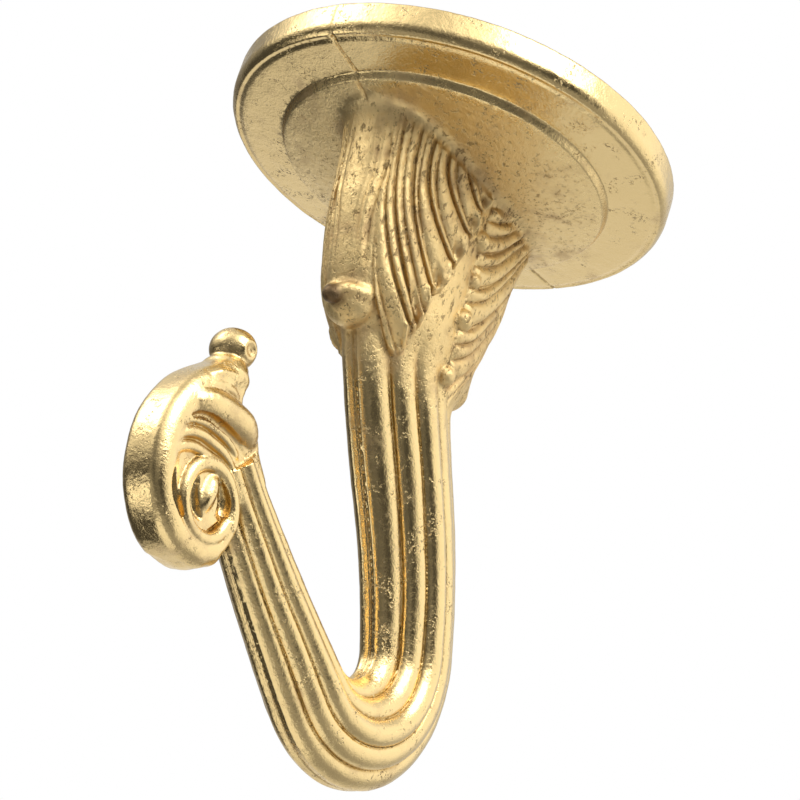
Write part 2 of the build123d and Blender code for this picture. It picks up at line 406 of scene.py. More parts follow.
def front_relief(turn, z):
    """Height of the front half of the side leaf, whose lobes end in a scalloped edge over the midrib."""
    lines = [groove_line(groove, z) for groove in FRONT_GROOVES]
    depths = [groove[-1] for groove in FRONT_GROOVES]
    raised = np.clip((turn - 32) / 26, 0, 1)
    height = 0.06 + 0.24 * raised + (0.4 + 0.5 * raised) * reeds(turn, lines, depths)
    for hollow_turn, hollow_z, size in FRONT_HOLLOWS:
        along = (z - hollow_z) / size / 1.7
        across = ((turn - hollow_turn) * GIRTH + 0.35 * (z - hollow_z)) / size / 0.75
        share = np.exp(-(along**2 + across**2) ** 1.5)
        height = height * (1 - 0.75 * share)
    for pit_turn, pit_z in FRONT_PITS:
        away = ((turn - pit_turn) * GIRTH) ** 2 + (z - pit_z) ** 2
        height = height - 0.35 * np.exp(-away / 0.05)
    inward = -outline_distance(turn * GIRTH, z, front_outline())
    hem = 0.22 * raised * bell(inward - 0.3, 0.22)
    return (height + hem) * np.clip(inward / 0.25, 0, 1) ** 0.4


def back_relief(turn, z):
    """Height of the back half of the side leaf, whose reeds curl up and back from the midrib."""
    lines, depths = [], []
    for start_z in BACK_GROOVES:
        rise = z - start_z
        curl = 9 * (1 - np.exp(-np.maximum(rise, 0) / 0.9)) + 3.6 * rise
        lines.append(midrib_edge(MIDRIB_BACK, start_z) + np.where(rise > 0, curl, 30 * rise))
        depths.append(0.2 if start_z in BACK_DEEP else 0.0)
    height = 0.02 + 0.8 * reeds(turn, lines, depths)
    lowest_z = -23.6
    inward = np.minimum((turn - midrib_edge(MIDRIB_BACK, z)) * GIRTH, z - lowest_z)
    return height * np.clip(inward / 0.3, 0, 1) ** 0.5


def midrib_relief(turn, z):
    """Height of the smooth midrib between the two halves of the side leaf."""
    front = midrib_edge(MIDRIB_FRONT, z)
    back = midrib_edge(MIDRIB_BACK, z)
    across = np.clip(np.abs(2 * (turn - front) / (back - front) - 1), 0, 1)
    return 0.2 * (1 - across**2) ** 1.6 * np.clip((z + 24) / 2, 0, 1) * np.clip((-6.5 - z) / 2, 0, 1)


def front_leaf_distance(p):
    """Distance to the smooth leaf down the stem's front edge, without its toe."""
    tip_x, tip_z = FRONT_TIP
    line = [
        on_stem(0, -12.0, FRONT_TIP_R + 0.3),
        (tip_x + 0.65, 0, tip_z + 4.4),
        (tip_x - 0.35, 0, tip_z + 1.9),
        (tip_x - 0.15, 0, tip_z),
    ]
    broad = p * (1, 0.92, 1)
    return bar_distance(broad, smooth_line(line, 9), np.linspace(FRONT_TIP_R, FRONT_TIP_R - 0.35, 9))


def back_leaf_distance(p):
    """Distance to the smooth leaf down the stem's back edge."""
    line = [on_stem(180, z, BACK_TIP_R + 0.1) for z in (-8.0, -14.0)]
    line.append((BACK_TIP[0], 0, BACK_TIP[1]))
    return bar_distance(p, line, BACK_TIP_R)


def flute_depth(p):
    """Depth of the flutes along the front leaf, which fade out at both its ends."""
    x, y, z = p.T
    depth = 0
    for side, deepest in FLUTES:
        depth = depth + deepest * bell(y - side - 0.25 * np.sin(z * 0.5), 0.2)
    return np.where(x > 2, depth, 0) * np.clip((-5.5 - z) / 3, 0, 1) * np.clip((z + 18.5) / 3, 0, 1)


def toe_lip(p):
    """Distance to the lip across the front leaf's toe."""
    tip_x, tip_z = FRONT_TIP
    line = [(tip_x + 2.35, 0, tip_z - 0.6), (tip_x + 1.75, 0.8, tip_z + 0.2), (tip_x + 0.4, 1.9, tip_z + 0.4)]
    return bar_distance(p, smooth_line(line, 7), np.linspace(0.62, 0.5, 7))


def leaves_distance(p):
    """Stem with its leaves; p has y of the +Y side only."""
    distance = stem_distance(p)
    distance = smooth_min(distance, front_leaf_distance(p), 0.8)
    distance = smooth_min(distance, back_leaf_distance(p), 0.6)
    near = np.abs(distance) < 1.4
    q = p[near]
    height = q[:, 2]
    half_x, half_y, shift = stem_size(height)
    turn = np.degrees(np.arctan2(q[:, 1] / half_y, (q[:, 0] - shift) / half_x))
    relief = np.maximum(front_relief(turn, height), back_relief(turn, height))
    relief = np.maximum(relief, midrib_relief(turn, height))
    below_disc = np.clip(disc_distance(q) / 0.9 - 0.15, 0, 1)
    local = distance[near] - relief * below_disc
    for bead_turn, bead_z, radius in BEADS:
        local = smooth_min(local, ball_distance(q, on_stem(bead_turn, bead_z, 0.2), radius * 0.85), 0.15)
    distance[near] = local
    distance = distance + flute_depth(p)
    nose = ball_distance(p, (FRONT_TIP[0] + 2.35, 0, FRONT_TIP[1] - 0.75), (0.75, 0.75, 0.7))
    return smooth_min(smooth_min(distance, toe_lip(p), 0.5), nose, 0.4)


# ---- J


def along_j(x, z):
    """Travel along the J's centre line, offset towards the throat and overrun past its ends."""
    travel = np.zeros_like(x)
    offset = np.zeros_like(x)
    overrun = np.zeros_like(x)
    nearest = np.full_like(x, np.inf)
    start_x, start_z, lean, done = 0.0, J_START_Z, 0.0, 0.0
    for length, turn in J_ARCS:
        bend = math.radians(turn) / length
        centre_x = start_x - math.cos(lean) / bend
        centre_z = start_z + math.sin(lean) / bend
        heading = np.arctan2(-(z - centre_z) * np.sign(bend), (x - centre_x) * np.sign(bend))
        middle = math.radians(turn) / 2
        swing = (heading - lean - middle + math.pi) % (2 * math.pi) - math.pi + middle
        gone = np.clip(swing / bend, 0, length)
        facing = lean + bend * gone
        from_x = x - (centre_x + np.cos(facing) / bend)
        from_z = z - (centre_z - np.sin(facing) / bend)
        across = from_x * np.cos(facing) - from_z * np.sin(facing)
        past = -from_x * np.sin(facing) - from_z * np.cos(facing)
        away = np.hypot(across, past)
        closer = away < nearest - 1e-9
        nearest = np.where(closer, away, nearest)
        travel = np.where(closer, done + gone, travel)
        offset = np.where(closer, across, offset)
        overrun = np.where(closer, past, overrun)
        lean += math.radians(turn)
        start_x = centre_x + math.cos(lean) / bend
        start_z = centre_z - math.sin(lean) / bend
        done += length
    return travel, offset, overrun


def section_half(travel):
    """Half depth and half width of the J at this travel."""
    lengths = [length for length, _ in J_ARCS]
    bend_start, bend_end, end = sum(lengths[:3]), sum(lengths[:4]), sum(lengths)
    depth = np.interp(travel, [0, bend_start, end], [SHANK_HALF[0], BEND_HALF[0], ARM_END_HALF[0]])
    widths = [SHANK_HALF[1], BEND_HALF[1], BEND_HALF[1], ARM_END_HALF[1]]
    width = np.interp(travel, [0, bend_start, bend_end, end], widths)
    return depth, width


def lens_reach(angle, depth, width):
    """Distance from the centre line to the lens-shaped section at this angle."""
    across = np.abs(np.cos(angle)) / depth
    side = np.abs(np.sin(angle)) / width
    return (across**LENS_POWER + side**LENS_POWER) ** (-1 / LENS_POWER)


def j_distance(p):
    """Distance to the reeded J, a little past its upper end and well into the scroll."""
    x, y, z = p.T
    travel, offset, overrun = along_j(x, z)
    depth, width = section_half(travel)
    angle = np.arctan2(np.abs(y), offset)
    wander = 1.6 * np.sin(travel * 0.23 + 0.6) + 0.9 * np.sin(travel * 0.57 + 2.0)
    degrees = np.clip(np.degrees(angle) + wander * np.sin(angle), 0, 180)
    reed = np.clip(np.searchsorted(REED_ANGLES, degrees, side="right") - 1, 0, len(REED_ANGLES) - 2)
    low, high = REED_ANGLES[reed], REED_ANGLES[reed + 1]
    across_reed = np.abs(2 * (degrees - low) / (high - low) - 1)
    crest = (1 - across_reed**2.3) ** 0.75
    scale = GROOVE_SCALE + (CREST_SCALE - GROOVE_SCALE) * crest
    reach = lens_reach(angle, depth, width)
    step = 0.02
    slope = (lens_reach(angle + step, depth, width) - lens_reach(angle - step, depth, width)) / (2 * step)
    distance = (np.hypot(offset, y) - reach * scale) / np.sqrt(1 + (slope / reach) ** 2)
    beside_flash = 0.05 * np.exp(-((np.abs(y) - 0.36) ** 2) / 0.012)
    distance = distance - (FLASH_HEIGHT * bell(y, FLASH_WIDTH) - beside_flash)
    into_stem, into_scroll = 0.2, 3.2
    return np.maximum(distance, np.abs(overrun) - np.where(travel > 10, into_scroll, into_stem))


# ---- scroll


def scroll_outline():
    """Corners of the scroll's outline in the plane of the J."""
    rim = smooth_line(SCROLL_RIM, 48)
    leaf = smooth_line([SCROLL_RIM[0], *LEAF_EDGE], 20)
    return np.vstack([rim[::-1], leaf[1:], [SCROLL_ROOT]])


def outline_distance(x, z, corners):
    """Signed distance to a closed outline."""
    best = np.full_like(x, np.inf)
    inside = np.zeros(len(x), bool)
    for (ax, az), (bx, bz) in zip(corners, np.roll(corners, -1, axis=0)):
        ex, ez = bx - ax, bz - az
        share = np.clip(((x - ax) * ex + (z - az) * ez) / (ex * ex + ez * ez), 0, 1)
        best = np.minimum(best, (x - ax - share * ex) ** 2 + (z - az - share * ez) ** 2)
        if az != bz:
            crosses = ((az > z) != (bz > z)) & (x < (bx - ax) * (z - az) / (bz - az) + ax)
            inside ^= crosses
    return np.where(inside, -1, 1) * np.sqrt(best)


def ridge_distance(p, points, radius, crest):
    """Distance to a round ridge on the scroll's side that swells from both ends."""
    share = np.linspace(0, 1, 3 * len(points))
    swell = np.minimum(1, np.minimum(share, 1 - share) * 3.5) ** 0.6
    radii = radius * (0.4 + 0.6 * swell)
    line = smooth_line([(x, 0, z) for x, z in points], len(share))
    line[:, 1] = SCROLL_FLOOR - 0.1 + (crest - SCROLL_FLOOR + 0.1) * swell - radii
    return bar_distance(p, line, radii)


def coil_line():
    """Middle line of the coil that leaves the rim and closes round the eye, sunk where it starts."""
    turns = [*COIL_START, *((angle, COIL_R) for angle in COIL_ANGLES)]
    points = []
    for angle, radius in turns:
        at = math.radians(angle)
        points.append((EYE[0] + radius * math.cos(at), COIL_HEIGHT, EYE[1] + radius * math.sin(at)))
    line = smooth_line(points, 48)
    line[:, 1] -= 0.6 * np.clip(1 - np.arange(len(line)) / 6, 0, 1)
    return line


def rim_line():
    """Middle line of the round rim, inside the scroll's outline."""
    outer = smooth_line(SCROLL_RIM, 32)
    along = np.gradient(outer, axis=0)
    along /= np.linalg.norm(along, axis=1, keepdims=True)
    inner = outer + RIM_BLEND * np.column_stack([along[:, 1], -along[:, 0]])
    return [(x, 0, z) for x, z in inner]


def ball_end_distances(p):
    """Distances to the collar under the ball, its neck, and the ball with its dimple."""
    x, z = BALL
    collar = ball_distance(p, (x - 0.1, 0, z - 2.55), (1.9, 2.15, 1.1))
    neck = ball_distance(p, (x, 0, z - BALL_R), (NECK_R + 0.3, NECK_R + 0.5, 0.9))
    ball = ball_distance(p, (x, 0, z), (BALL_R + 0.1, BALL_R + 0.25, BALL_R))
    dimple = ball_distance(p, (x - 0.1, 2.2, z - 0.15), (0.75, 0.6, 0.7))
    return collar, neck, smooth_max(ball, -dimple, 0.2)


def scroll_distance(p):
    """Scroll with its relief; p has y of the +Y side only."""
    x, y, z = p.T
    edge = outline_distance(x, z, scroll_outline())
    past_arm = (x - 10.7) * 0.84 + (z + 42.6) * 0.54
    floor = SCROLL_FLOOR - 1.0 * np.clip((0.7 - past_arm) / 0.9, 0, 1)
    body = round_max(edge, y - floor, 0.8)
    flat = np.column_stack([x, np.maximum(y - SCROLL_HALF + RIM_BLEND, 0), z])
    distance = smooth_min(body, bar_distance(flat, rim_line(), RIM_BLEND), 0.35)
    for points, radius, crest in RIDGES:
        distance = smooth_min(distance, ridge_distance(p, points, radius, crest), 0.16)
    coil = coil_line()
    distance = smooth_min(distance, bar_distance(p, coil, np.linspace(*COIL_BAR, len(coil))), 0.16)
    for points, radius, height in CHANNELS:
        line = smooth_line([(x, height, z) for x, z in points], 3 * len(points))
        swell = np.sin(np.linspace(0.15, 2.9, len(line))) ** 0.5
        distance = smooth_max(distance, -bar_distance(p, line, radius * swell), 0.2)
    eye = ball_distance(p, (EYE[0] + 0.1, 1.1, EYE[1] + 0.7), (0.95, 1.4, 2.1))
    distance = smooth_min(distance, eye, 0.3)
    collar, neck, ball = ball_end_distances(p)
    distance = smooth_min(smooth_min(distance, collar, 0.3), neck, 0.4)
    return smooth_min(distance, ball, 0.35)


# ---- casting


def casting_distance(p):
    """Signed distance to the whole casting for points in millimetres, negative inside."""
    mirrored = p.copy()
    mirrored[:, 1] = np.abs(mirrored[:, 1])
    x, y, z = mirrored.T
    distance = np.full(len(p), FAR)
    near = z > -8.5
    distance[near] = disc_distance(mirrored[near])
    near = (z < -3) & (z > -26) & (np.abs(x) < 14) & (y < 8)
    distance[near] = smooth_min(distance[near], leaves_distance(mirrored[near]), 1.1)
    near = (z < -13) & (y < 6)
    distance[near] = smooth_min(distance[near], j_distance(mirrored[near]), 0.5)
    near = (x > 6) & (z < -28) & (z > -53) & (y < 4.5)
    distance[near] = smooth_min(distance[near], scroll_distance(mirrored[near]), 0.4)
    # The stem fills the disc's hole again, so the hole is cut once more through both
    distance = smooth_max(distance, -hole_distance(p), HOLE_ROUNDING)
    return distance + 0.018 * (1 + ripple(p, 4.3)) + 0.008 * (1 + ripple(p, 1.5))


def distances(p, size=400000):
    """Distances of many points to the casting, worked out a part at a time to save memory."""
    return np.concatenate([casting_distance(p[start : start + size]) for start in range(0, len(p), size)])


def gradient(p):
    """Direction in which the distance grows, and how fast."""
    step = 0.02
    total = np.zeros_like(p)
    for corner in ((1, 1, 1), (1, -1, -1), (-1, 1, -1), (-1, -1, 1)):
        corner = np.array(corner, float)
        total += distances(p + corner * step)[:, None] * corner
    return total / (4 * step)


def settle(p, rounds):
    """Moves points that are near the surface onto it, by a short step in each round."""
    longest = 0.1
    for _ in range(rounds):
        slope = gradient(p)
        size = np.maximum((slope**2).sum(axis=1), 0.04)
        move = distances(p)[:, None] * slope / size[:, None]
        length = np.linalg.norm(move, axis=1, keepdims=True)
        p = p - move * np.minimum(1, longest / np.maximum(length, 1e-9))
    return p


def sample_grid(low, high, cell):
    """Distances on a grid over the box, worked out only in blocks that the surface can pass through."""
    block = 4
    counts = np.ceil((high - low) / (cell * block)).astype(int)
    centres = [low[i] + (np.arange(counts[i]) + 0.5) * cell * block for i in range(3)]
    middles = np.stack(np.meshgrid(*centres, indexing="ij"), axis=-1).reshape(-1, 3)
    rough = distances(middles).reshape(counts)
    values = (np.sign(rough) * FAR).astype(np.float32)
    for axis in range(3):
        values = np.repeat(values, block, axis)
    half_diagonal, margin = 0.87, 0.35
    kept = np.argwhere(np.abs(rough) < cell * block * half_diagonal + margin)
    local = np.stack(np.meshgrid(*[np.arange(block)] * 3, indexing="ij"), axis=-1).reshape(-1, 3)
    indices = (kept[:, None, :] * block + local[None]).reshape(-1, 3)
    values[tuple(indices.T)] = distances(low + (indices + 0.5) * cell)
    return values


def surface_net(values, low, cell):
    """Corners and four-sided faces of the surface where the sampled distance is zero."""
    inside = values < 0
    corners = [(i, j, k) for i in (0, 1) for j in (0, 1) for k in (0, 1)]
    shape = tuple(n - 1 for n in values.shape)
    count = np.zeros(shape, np.int8)
    for i, j, k in corners:
        count += inside[i : i + shape[0], j : j + shape[1], k : k + shape[2]]
    cells = np.argwhere((count > 0) & (count < 8))
    number = np.full(shape, -1, np.int32)
    number[tuple(cells.T)] = np.arange(len(cells))
    at_corner = {c: values[tuple((cells + c).T)] for c in corners}
    total = np.zeros((len(cells), 3))
    crossings = np.zeros(len(cells))
    for start in corners:
        for axis in range(3):
            if start[axis]:
                continue
            end = tuple(start[i] + (i == axis) for i in range(3))
            a, b = at_corner[start], at_corner[end]
            crossed = (a < 0) != (b < 0)
            share = np.where(crossed, a / np.where(crossed, a - b, 1), 0)
            point = np.array(start, float) + share[:, None] * np.eye(3)[axis]
            total += point * crossed[:, None]
            crossings += crossed
    places = low + (cells + 0.5 + total / crossings[:, None]) * cell
    faces = []
    for axis in range(3):
        u, v = (axis + 1) % 3, (axis + 2) % 3
        first = [slice(1, n) for n in shape]
        first[axis] = slice(0, shape[axis])
        second = list(first)
        second[axis] = slice(1, shape[axis] + 1)
        a, b = inside[tuple(first)], inside[tuple(second)]
        edges = np.argwhere(a != b)
        outward = a[tuple(edges.T)]
        edges[:, u] += 1
        edges[:, v] += 1
        ring = []
        for du, dv in ((-1, -1), (0, -1), (0, 0), (-1, 0)):
            neighbour = edges.copy()
            neighbour[:, u] += du
            neighbour[:, v] += dv
            ring.append(number[tuple(neighbour.T)])
        quads = np.column_stack(ring)
        quads[~outward] = quads[~outward][:, ::-1]
        faces.append(quads)
    return places, np.vstack(faces)


def new_mesh(name, places, faces):
    """Blender mesh from corners in millimetres and faces with equal numbers of corners."""
    mesh = bpy.data.meshes.new(name)
    sides = faces.shape[1]
    mesh.vertices.add(len(places))
    mesh.vertices.foreach_set("co", (places * MM).ravel())
    mesh.loops.add(faces.size)
    mesh.loops.foreach_set("vertex_index", faces.ravel())
    mesh.polygons.add(len(faces))
    mesh.polygons.foreach_set("loop_start", np.arange(0, faces.size, sides))
    mesh.update(calc_edges=True)
    mesh.validate()
    return mesh


def build_casting(name, cell, most_triangles):
    """Mesh object of the whole casting, thinned to the number of triangles."""
    margin = 1.0
    low = np.array(cad_low) / MM - margin
    high = np.array(cad_high) / MM + margin
    places, faces = surface_net(sample_grid(low, high, cell), low, cell)
    casting = bpy.data.objects.new(name, new_mesh(name, settle(places, 1), faces))
    bpy.context.collection.objects.link(casting)
    thin = casting.modifiers.new("Thin", "DECIMATE")
    thin.ratio = min(1, most_triangles / (2 * len(faces)))
    graph = bpy.context.evaluated_depsgraph_get()
    mesh = bpy.data.meshes.new_from_object(casting.evaluated_get(graph))
    casting.modifiers.clear()
    casting.data = mesh
    finish_surface(mesh)
    return casting


def finish_surface(mesh):
    """Sets the corners on the surface, with smooth normals and a value for hollows."""
    places = np.empty(len(mesh.vertices) * 3)
    mesh.vertices.foreach_get("co", places)
    places = settle(places.reshape(-1, 3) / MM, 2)
    clear = 0.002
    places = np.clip(places, np.array(cad_low) / MM + clear, np.array(cad_high) / MM - clear)
    mesh.vertices.foreach_set("co", (places * MM).ravel())
    slope = gradient(places)
    normals = slope / np.maximum(np.linalg.norm(slope, axis=1, keepdims=True), 1e-6)
    hollow = np.zeros(len(places))
    for reach in HOLLOW_REACHES:
        hollow += np.clip(1 - distances(places + normals * reach) / reach, 0, 1) / len(HOLLOW_REACHES)
    layer = mesh.attributes.new("hollow", "FLOAT", "POINT")
    layer.data.foreach_set("value", hollow.astype(np.float32))
    mesh.polygons.foreach_set("use_smooth", np.ones(len(mesh.polygons), bool))
    mesh.normals_split_custom_set_from_vertices(normals.astype(np.float32))
    mesh.update()


# ---- finish


# Painted shade on the front leaf's toe, standing in for the shade in the nick at its curled tip, in metres
TOE_SHADE_SPOT = (0.0086, -0.0002, -0.0216)


class Nodes:
    """Short way to add and join nodes in one tree."""

    def __init__(self, tree):
        self.tree = tree

    def add(self, kind, values=None, **settings):
        """New node with these settings, whose inputs are set to these values or linked to these outputs."""
        node = self.tree.nodes.new(kind)
        for key, value in settings.items():
            setattr(node, key, value)
        for key, value in (values or {}).items():
            if isinstance(value, bpy.types.NodeSocket):
                self.join(value, node.inputs[key])
            else:
                node.inputs[key].default_value = value
        return node

    def join(self, source, target):
        """Link from an output to an input."""
        self.tree.links.new(source, target)

    def math(self, operation, a, b, clamp=False):
        """Result of an operation on two values."""
        return self.add("ShaderNodeMath", {0: a, 1: b}, operation=operation, use_clamp=clamp).outputs[0]

    def plus(self, a, b):
        """Sum of two values."""
        return self.math("ADD", a, b)

    def times(self, a, b):
        """Product of two values."""
        return self.math("MULTIPLY", a, b)

    def noise(self, place, scale, detail, roughness, distortion=0.0):
        """Uneven pattern between 0 and 1."""
        values = {"Vector": place, "Scale": scale, "Detail": detail, "Roughness": roughness}
        return self.add("ShaderNodeTexNoise", {**values, "Distortion": distortion}).outputs["Fac"]

    def ramp(self, value, low, high):
        """0 below low, 1 above high and smooth between."""
        values = {"Value": value, "From Min": low, "From Max": high}
        return self.add("ShaderNodeMapRange", values, interpolation_type="SMOOTHSTEP").outputs["Result"]

    def mix(self, share, a, b):
        """Mix of two colours, with this share of the second."""
        return self.add("ShaderNodeMix", {0: share, 6: a, 7: b}, data_type="RGBA").outputs[2]


def wear_group():
    """Masks for tarnish, pits, scuffs and grain, over plated metal and more over rough cast metal."""
    group = bpy.data.node_groups.new("Plating wear", "ShaderNodeTree")
    for label in ("Hollow", "Cast"):
        group.interface.new_socket(label, in_out="INPUT", socket_type="NodeSocketFloat")
    for label in ("Tarnish", "Pits", "Scuffs", "Grain"):
        group.interface.new_socket(label, in_out="OUTPUT", socket_type="NodeSocketFloat")
    nodes = Nodes(group)
    given = nodes.add("NodeGroupInput").outputs
    result = nodes.add("NodeGroupOutput").inputs
    place = nodes.add("ShaderNodeTexCoord").outputs["Object"]
    patches = nodes.times(nodes.noise(place, 190, 4, 0.6, 0.4), 0.65)
    cloud = nodes.times(nodes.noise(place, 620, 3, 0.6), 0.35)
    dull = nodes.plus(patches, cloud)
    dull = nodes.plus(dull, nodes.times(given["Hollow"], 0.3))
    dull = nodes.plus(dull, nodes.times(given["Cast"], 0.03))
    nodes.join(nodes.ramp(dull, 0.52, 0.72), result["Tarnish"])
    specks = nodes.ramp(nodes.noise(place, 3600, 2, 0.7), 0.55, 0.64)
    where = nodes.ramp(nodes.noise(place, 420, 3, 0.6, 0.6), 0.5, 0.68)
    drawn_out = nodes.add("ShaderNodeVectorMath", {0: place, 1: (1.0, 1.0, 0.5)}, operation="MULTIPLY")
    blots = nodes.ramp(nodes.noise(drawn_out.outputs[0], 1900, 3, 0.75), 0.55, 0.66)
    blots = nodes.times(nodes.times(blots, given["Cast"]), 0.9)
    nodes.join(nodes.math("MAXIMUM", nodes.times(specks, where), blots), result["Pits"])
    nodes.join(nodes.ramp(nodes.noise(place, 1500, 4, 0.65, 0.5), 0.4, 0.75), result["Scuffs"])
    coarse = nodes.times(nodes.noise(place, 1700, 2, 0.6, 0.3), 1.6)
    nodes.join(nodes.plus(nodes.noise(place, 5200, 3, 0.7), coarse), result["Grain"])
    return group


def leaf_mask(nodes, place):
    """1 at the height of the leaves, where the casting is left rough, and 0 on the disc and the J."""
    height = nodes.add("ShaderNodeSeparateXYZ", {0: place}).outputs["Z"]
    return nodes.times(nodes.ramp(height, -0.027, -0.021), nodes.ramp(height, -0.003, -0.006))


def brass_colour(nodes, finish, place, hollow, leaves, wear):
    """Clean brass, tarnished in patches, with painted shade and painted inter-reflection in the grooves,
    darker in the pits, and a painted shade spot at the toe.
    """
    share = nodes.times(wear["Tarnish"], nodes.plus(0.5, nodes.times(leaves, 0.2)))
    colour = nodes.mix(share, (*finish.brass, 1), (*finish.tarnish, 1))
    # Painted shade and painted inter-reflection: where the hollow value is high, the brass turns to the
    # darker amber groove colour. It stands in for shade and for light bounced between the walls, with less of
    # it on the leaves
    deepest = nodes.math("SUBTRACT", 0.85, nodes.times(leaves, 0.35))
    share = nodes.times(nodes.ramp(hollow, 0.2, 0.8), deepest)
    colour = nodes.mix(share, colour, (*finish.groove, 1))
    share = nodes.times(wear["Pits"], 0.6)
    colour = nodes.mix(share, colour, (*finish.pit_and_toe_shade, 1))
    # Painted shade: the pit colour is laid over a small patch round the toe, standing in for the shade of the
    # nick at its curled tip
    from_toe = nodes.add("ShaderNodeVectorMath", {0: place, 1: TOE_SHADE_SPOT}, operation="DISTANCE")
    share = nodes.times(nodes.ramp(from_toe.outputs["Value"], 0.0018, 0.0009), 0.92)
    return nodes.mix(share, colour, (*finish.pit_and_toe_shade, 1))


def brass_roughness(nodes, finish, leaves, wear):
    """Bright on the disc and the J, duller on the leaves and where it is worn."""
    rough = nodes.plus(finish.polish, nodes.times(leaves, finish.leaf_dullness))
    rough = nodes.plus(rough, nodes.times(wear["Scuffs"], 0.14))
    rough = nodes.plus(rough, nodes.times(wear["Tarnish"], 0.16))
    return nodes.math("ADD", rough, nodes.times(wear["Pits"], 0.2), clamp=True)


def brass_grain(nodes, finish, leaves, wear):
    """Fine grain of the cast skin, stronger on the leaves, with the pits sunk into it."""
    strength = nodes.plus(0.5, nodes.times(leaves, 0.5))
    grain = nodes.times(wear["Grain"], strength)
    height = nodes.math("SUBTRACT", grain, wear["Pits"])
    values = {"Strength": 0.7, "Distance": finish.grain, "Height": height}
    return nodes.add("ShaderNodeBump", values).outputs["Normal"]


def brass_material(finish):
    """Bright brass plating over a casting."""
    material = bpy.data.materials.new("Brass plating")
    material.use_nodes = True
    nodes = Nodes(material.node_tree)
    shader = material.node_tree.nodes["Principled BSDF"]
    shader.inputs["Metallic"].default_value = 1.0
    hollow = nodes.add("ShaderNodeAttribute", attribute_name="hollow").outputs["Fac"]
    place = nodes.add("ShaderNodeTexCoord").outputs["Object"]
    leaves = leaf_mask(nodes, place)
    wear = nodes.add("ShaderNodeGroup", {"Hollow": hollow, "Cast": leaves}, node_tree=wear_group()).outputs
    nodes.join(brass_colour(nodes, finish, place, hollow, leaves, wear), shader.inputs["Base Color"])
    nodes.join(brass_roughness(nodes, finish, leaves, wear), shader.inputs["Roughness"])
    nodes.join(brass_grain(nodes, finish, leaves, wear), shader.inputs["Normal"])
    return material


# ---- studio


# Bright and dark cards round the studio: direction, cosines of the angles at which each is full and at which
# it ends, and strength, less than nothing for a dark one
STUDIO_CARDS = (
    ((-0.66, -0.61, -0.44), 0.9, 0.65, 0.32),
    ((0.66, -0.54, 0.50), 0.92, 0.75, 0.70),
    ((-0.60, 0.72, 0.36), 0.92, 0.66, 0.48),
    ((0.50, 0.62, 0.60), 0.95, 0.84, 0.75),
    ((0.56, -0.61, -0.56), 0.985, 0.96, 1.3),
    ((0.66, -0.73, -0.12), 0.95, 0.82, -0.50),
    ((0.08, -0.58, -0.81), 0.95, 0.82, -0.50),
    ((-0.2, -0.97, 0.15), 0.94, 0.80, -0.32),
    ((-0.12, -0.90, -0.42), 0.96, 0.86, -0.45),
    ((0.66, 0.61, -0.44), 0.95, 0.84, -0.20),
    ((0.97, 0.1, -0.1), 0.97, 0.88, -0.25),
    ((0.1, 0.99, -0.15), 0.97, 0.90, -0.40),
)
DARKEST = 0.055
STUDIO_TINT = (1.0, 0.99, 0.965)

# Camera, in metres and millimetres of film
CAMERA_PLACE = (0.244213, 0.215760, -0.195313)
CAMERA_RIGHT = (-0.51098, 0.81199, 0.28209)
CAMERA_UP = (0.53975, 0.04768, 0.84047)
CAMERA_LENS = 202.5
CAMERA_FILM = 36

FLOOR_SIZE = 0.32
FLOOR_DROP = 0.30
KEY_LIGHT = (0.10, 0.32, 0.22)
KEY_SIZE = 0.28
SIDE_LIGHT = (0.26, -0.22, 0.20)
SIDE_SIZE = 0.20


def studio_level(nodes):
    """Brightness of the studio in each direction: brighter above, with its cards."""
    direction = nodes.add("ShaderNodeTexCoord").outputs["Generated"]
    height = nodes.add("ShaderNodeSeparateXYZ", {0: direction}).outputs["Z"]
    above = nodes.ramp(height, -0.7, 0.8)
    level = nodes.plus(0.30, nodes.times(above, 0.3))
    for axis, full, end, strength in STUDIO_CARDS:
        values = {0: direction, 1: Vector(axis).normalized()}
        facing = nodes.add("ShaderNodeVectorMath", values, operation="DOT_PRODUCT").outputs["Value"]
        level = nodes.plus(level, nodes.times(nodes.ramp(facing, end, full), strength))
    return nodes.math("MAXIMUM", level, DARKEST)


def studio_world(brightness):
    """White behind the object, with a pale studio around it for light and reflections."""
    world = bpy.data.worlds.new("Studio")
    world.use_nodes = True
    nodes = Nodes(world.node_tree)
    world.node_tree.nodes.clear()
    level = studio_level(nodes)
    tinted = {i: nodes.times(level, tint) for i, tint in enumerate(STUDIO_TINT)}
    colour = nodes.add("ShaderNodeCombineColor", tinted).outputs[0]
    around = nodes.add("ShaderNodeBackground", {"Color": colour, "Strength": brightness}).outputs[0]
    white = nodes.add("ShaderNodeBackground", {"Color": (1, 1, 1, 1)}).outputs[0]
    seen = nodes.add("ShaderNodeLightPath").outputs["Is Camera Ray"]
    chosen = nodes.add("ShaderNodeMixShader", {0: seen, 1: around, 2: white}).outputs[0]
    nodes.add("ShaderNodeOutputWorld", {"Surface": chosen})
    return world


def add_floor(colour):
    """Pale floor well below the hook."""
    bpy.ops.mesh.primitive_plane_add(size=FLOOR_SIZE, location=(0, 0, cad_low[2] - FLOOR_DROP))
    floor = bpy.context.object
    floor.name = "floor"
    paint = bpy.data.materials.new("Floor paint")
    paint.use_nodes = True
    shader = paint.node_tree.nodes["Principled BSDF"]
    shader.inputs["Base Color"].default_value = (*colour, 1)
    shader.inputs["Roughness"].default_value = 0.9
    floor.data.materials.append(paint)


def add_light(name, place, target, size, power):
    """Soft square light at this place, turned towards the target."""
    data = bpy.data.lights.new(name, "AREA")
    data.size = size
    data.energy = power
    light = bpy.data.objects.new(name, data)
    bpy.context.collection.objects.link(light)
    light.location = place
    light.rotation_euler = (Vector(target) - Vector(place)).to_track_quat("-Z", "Y").to_euler()


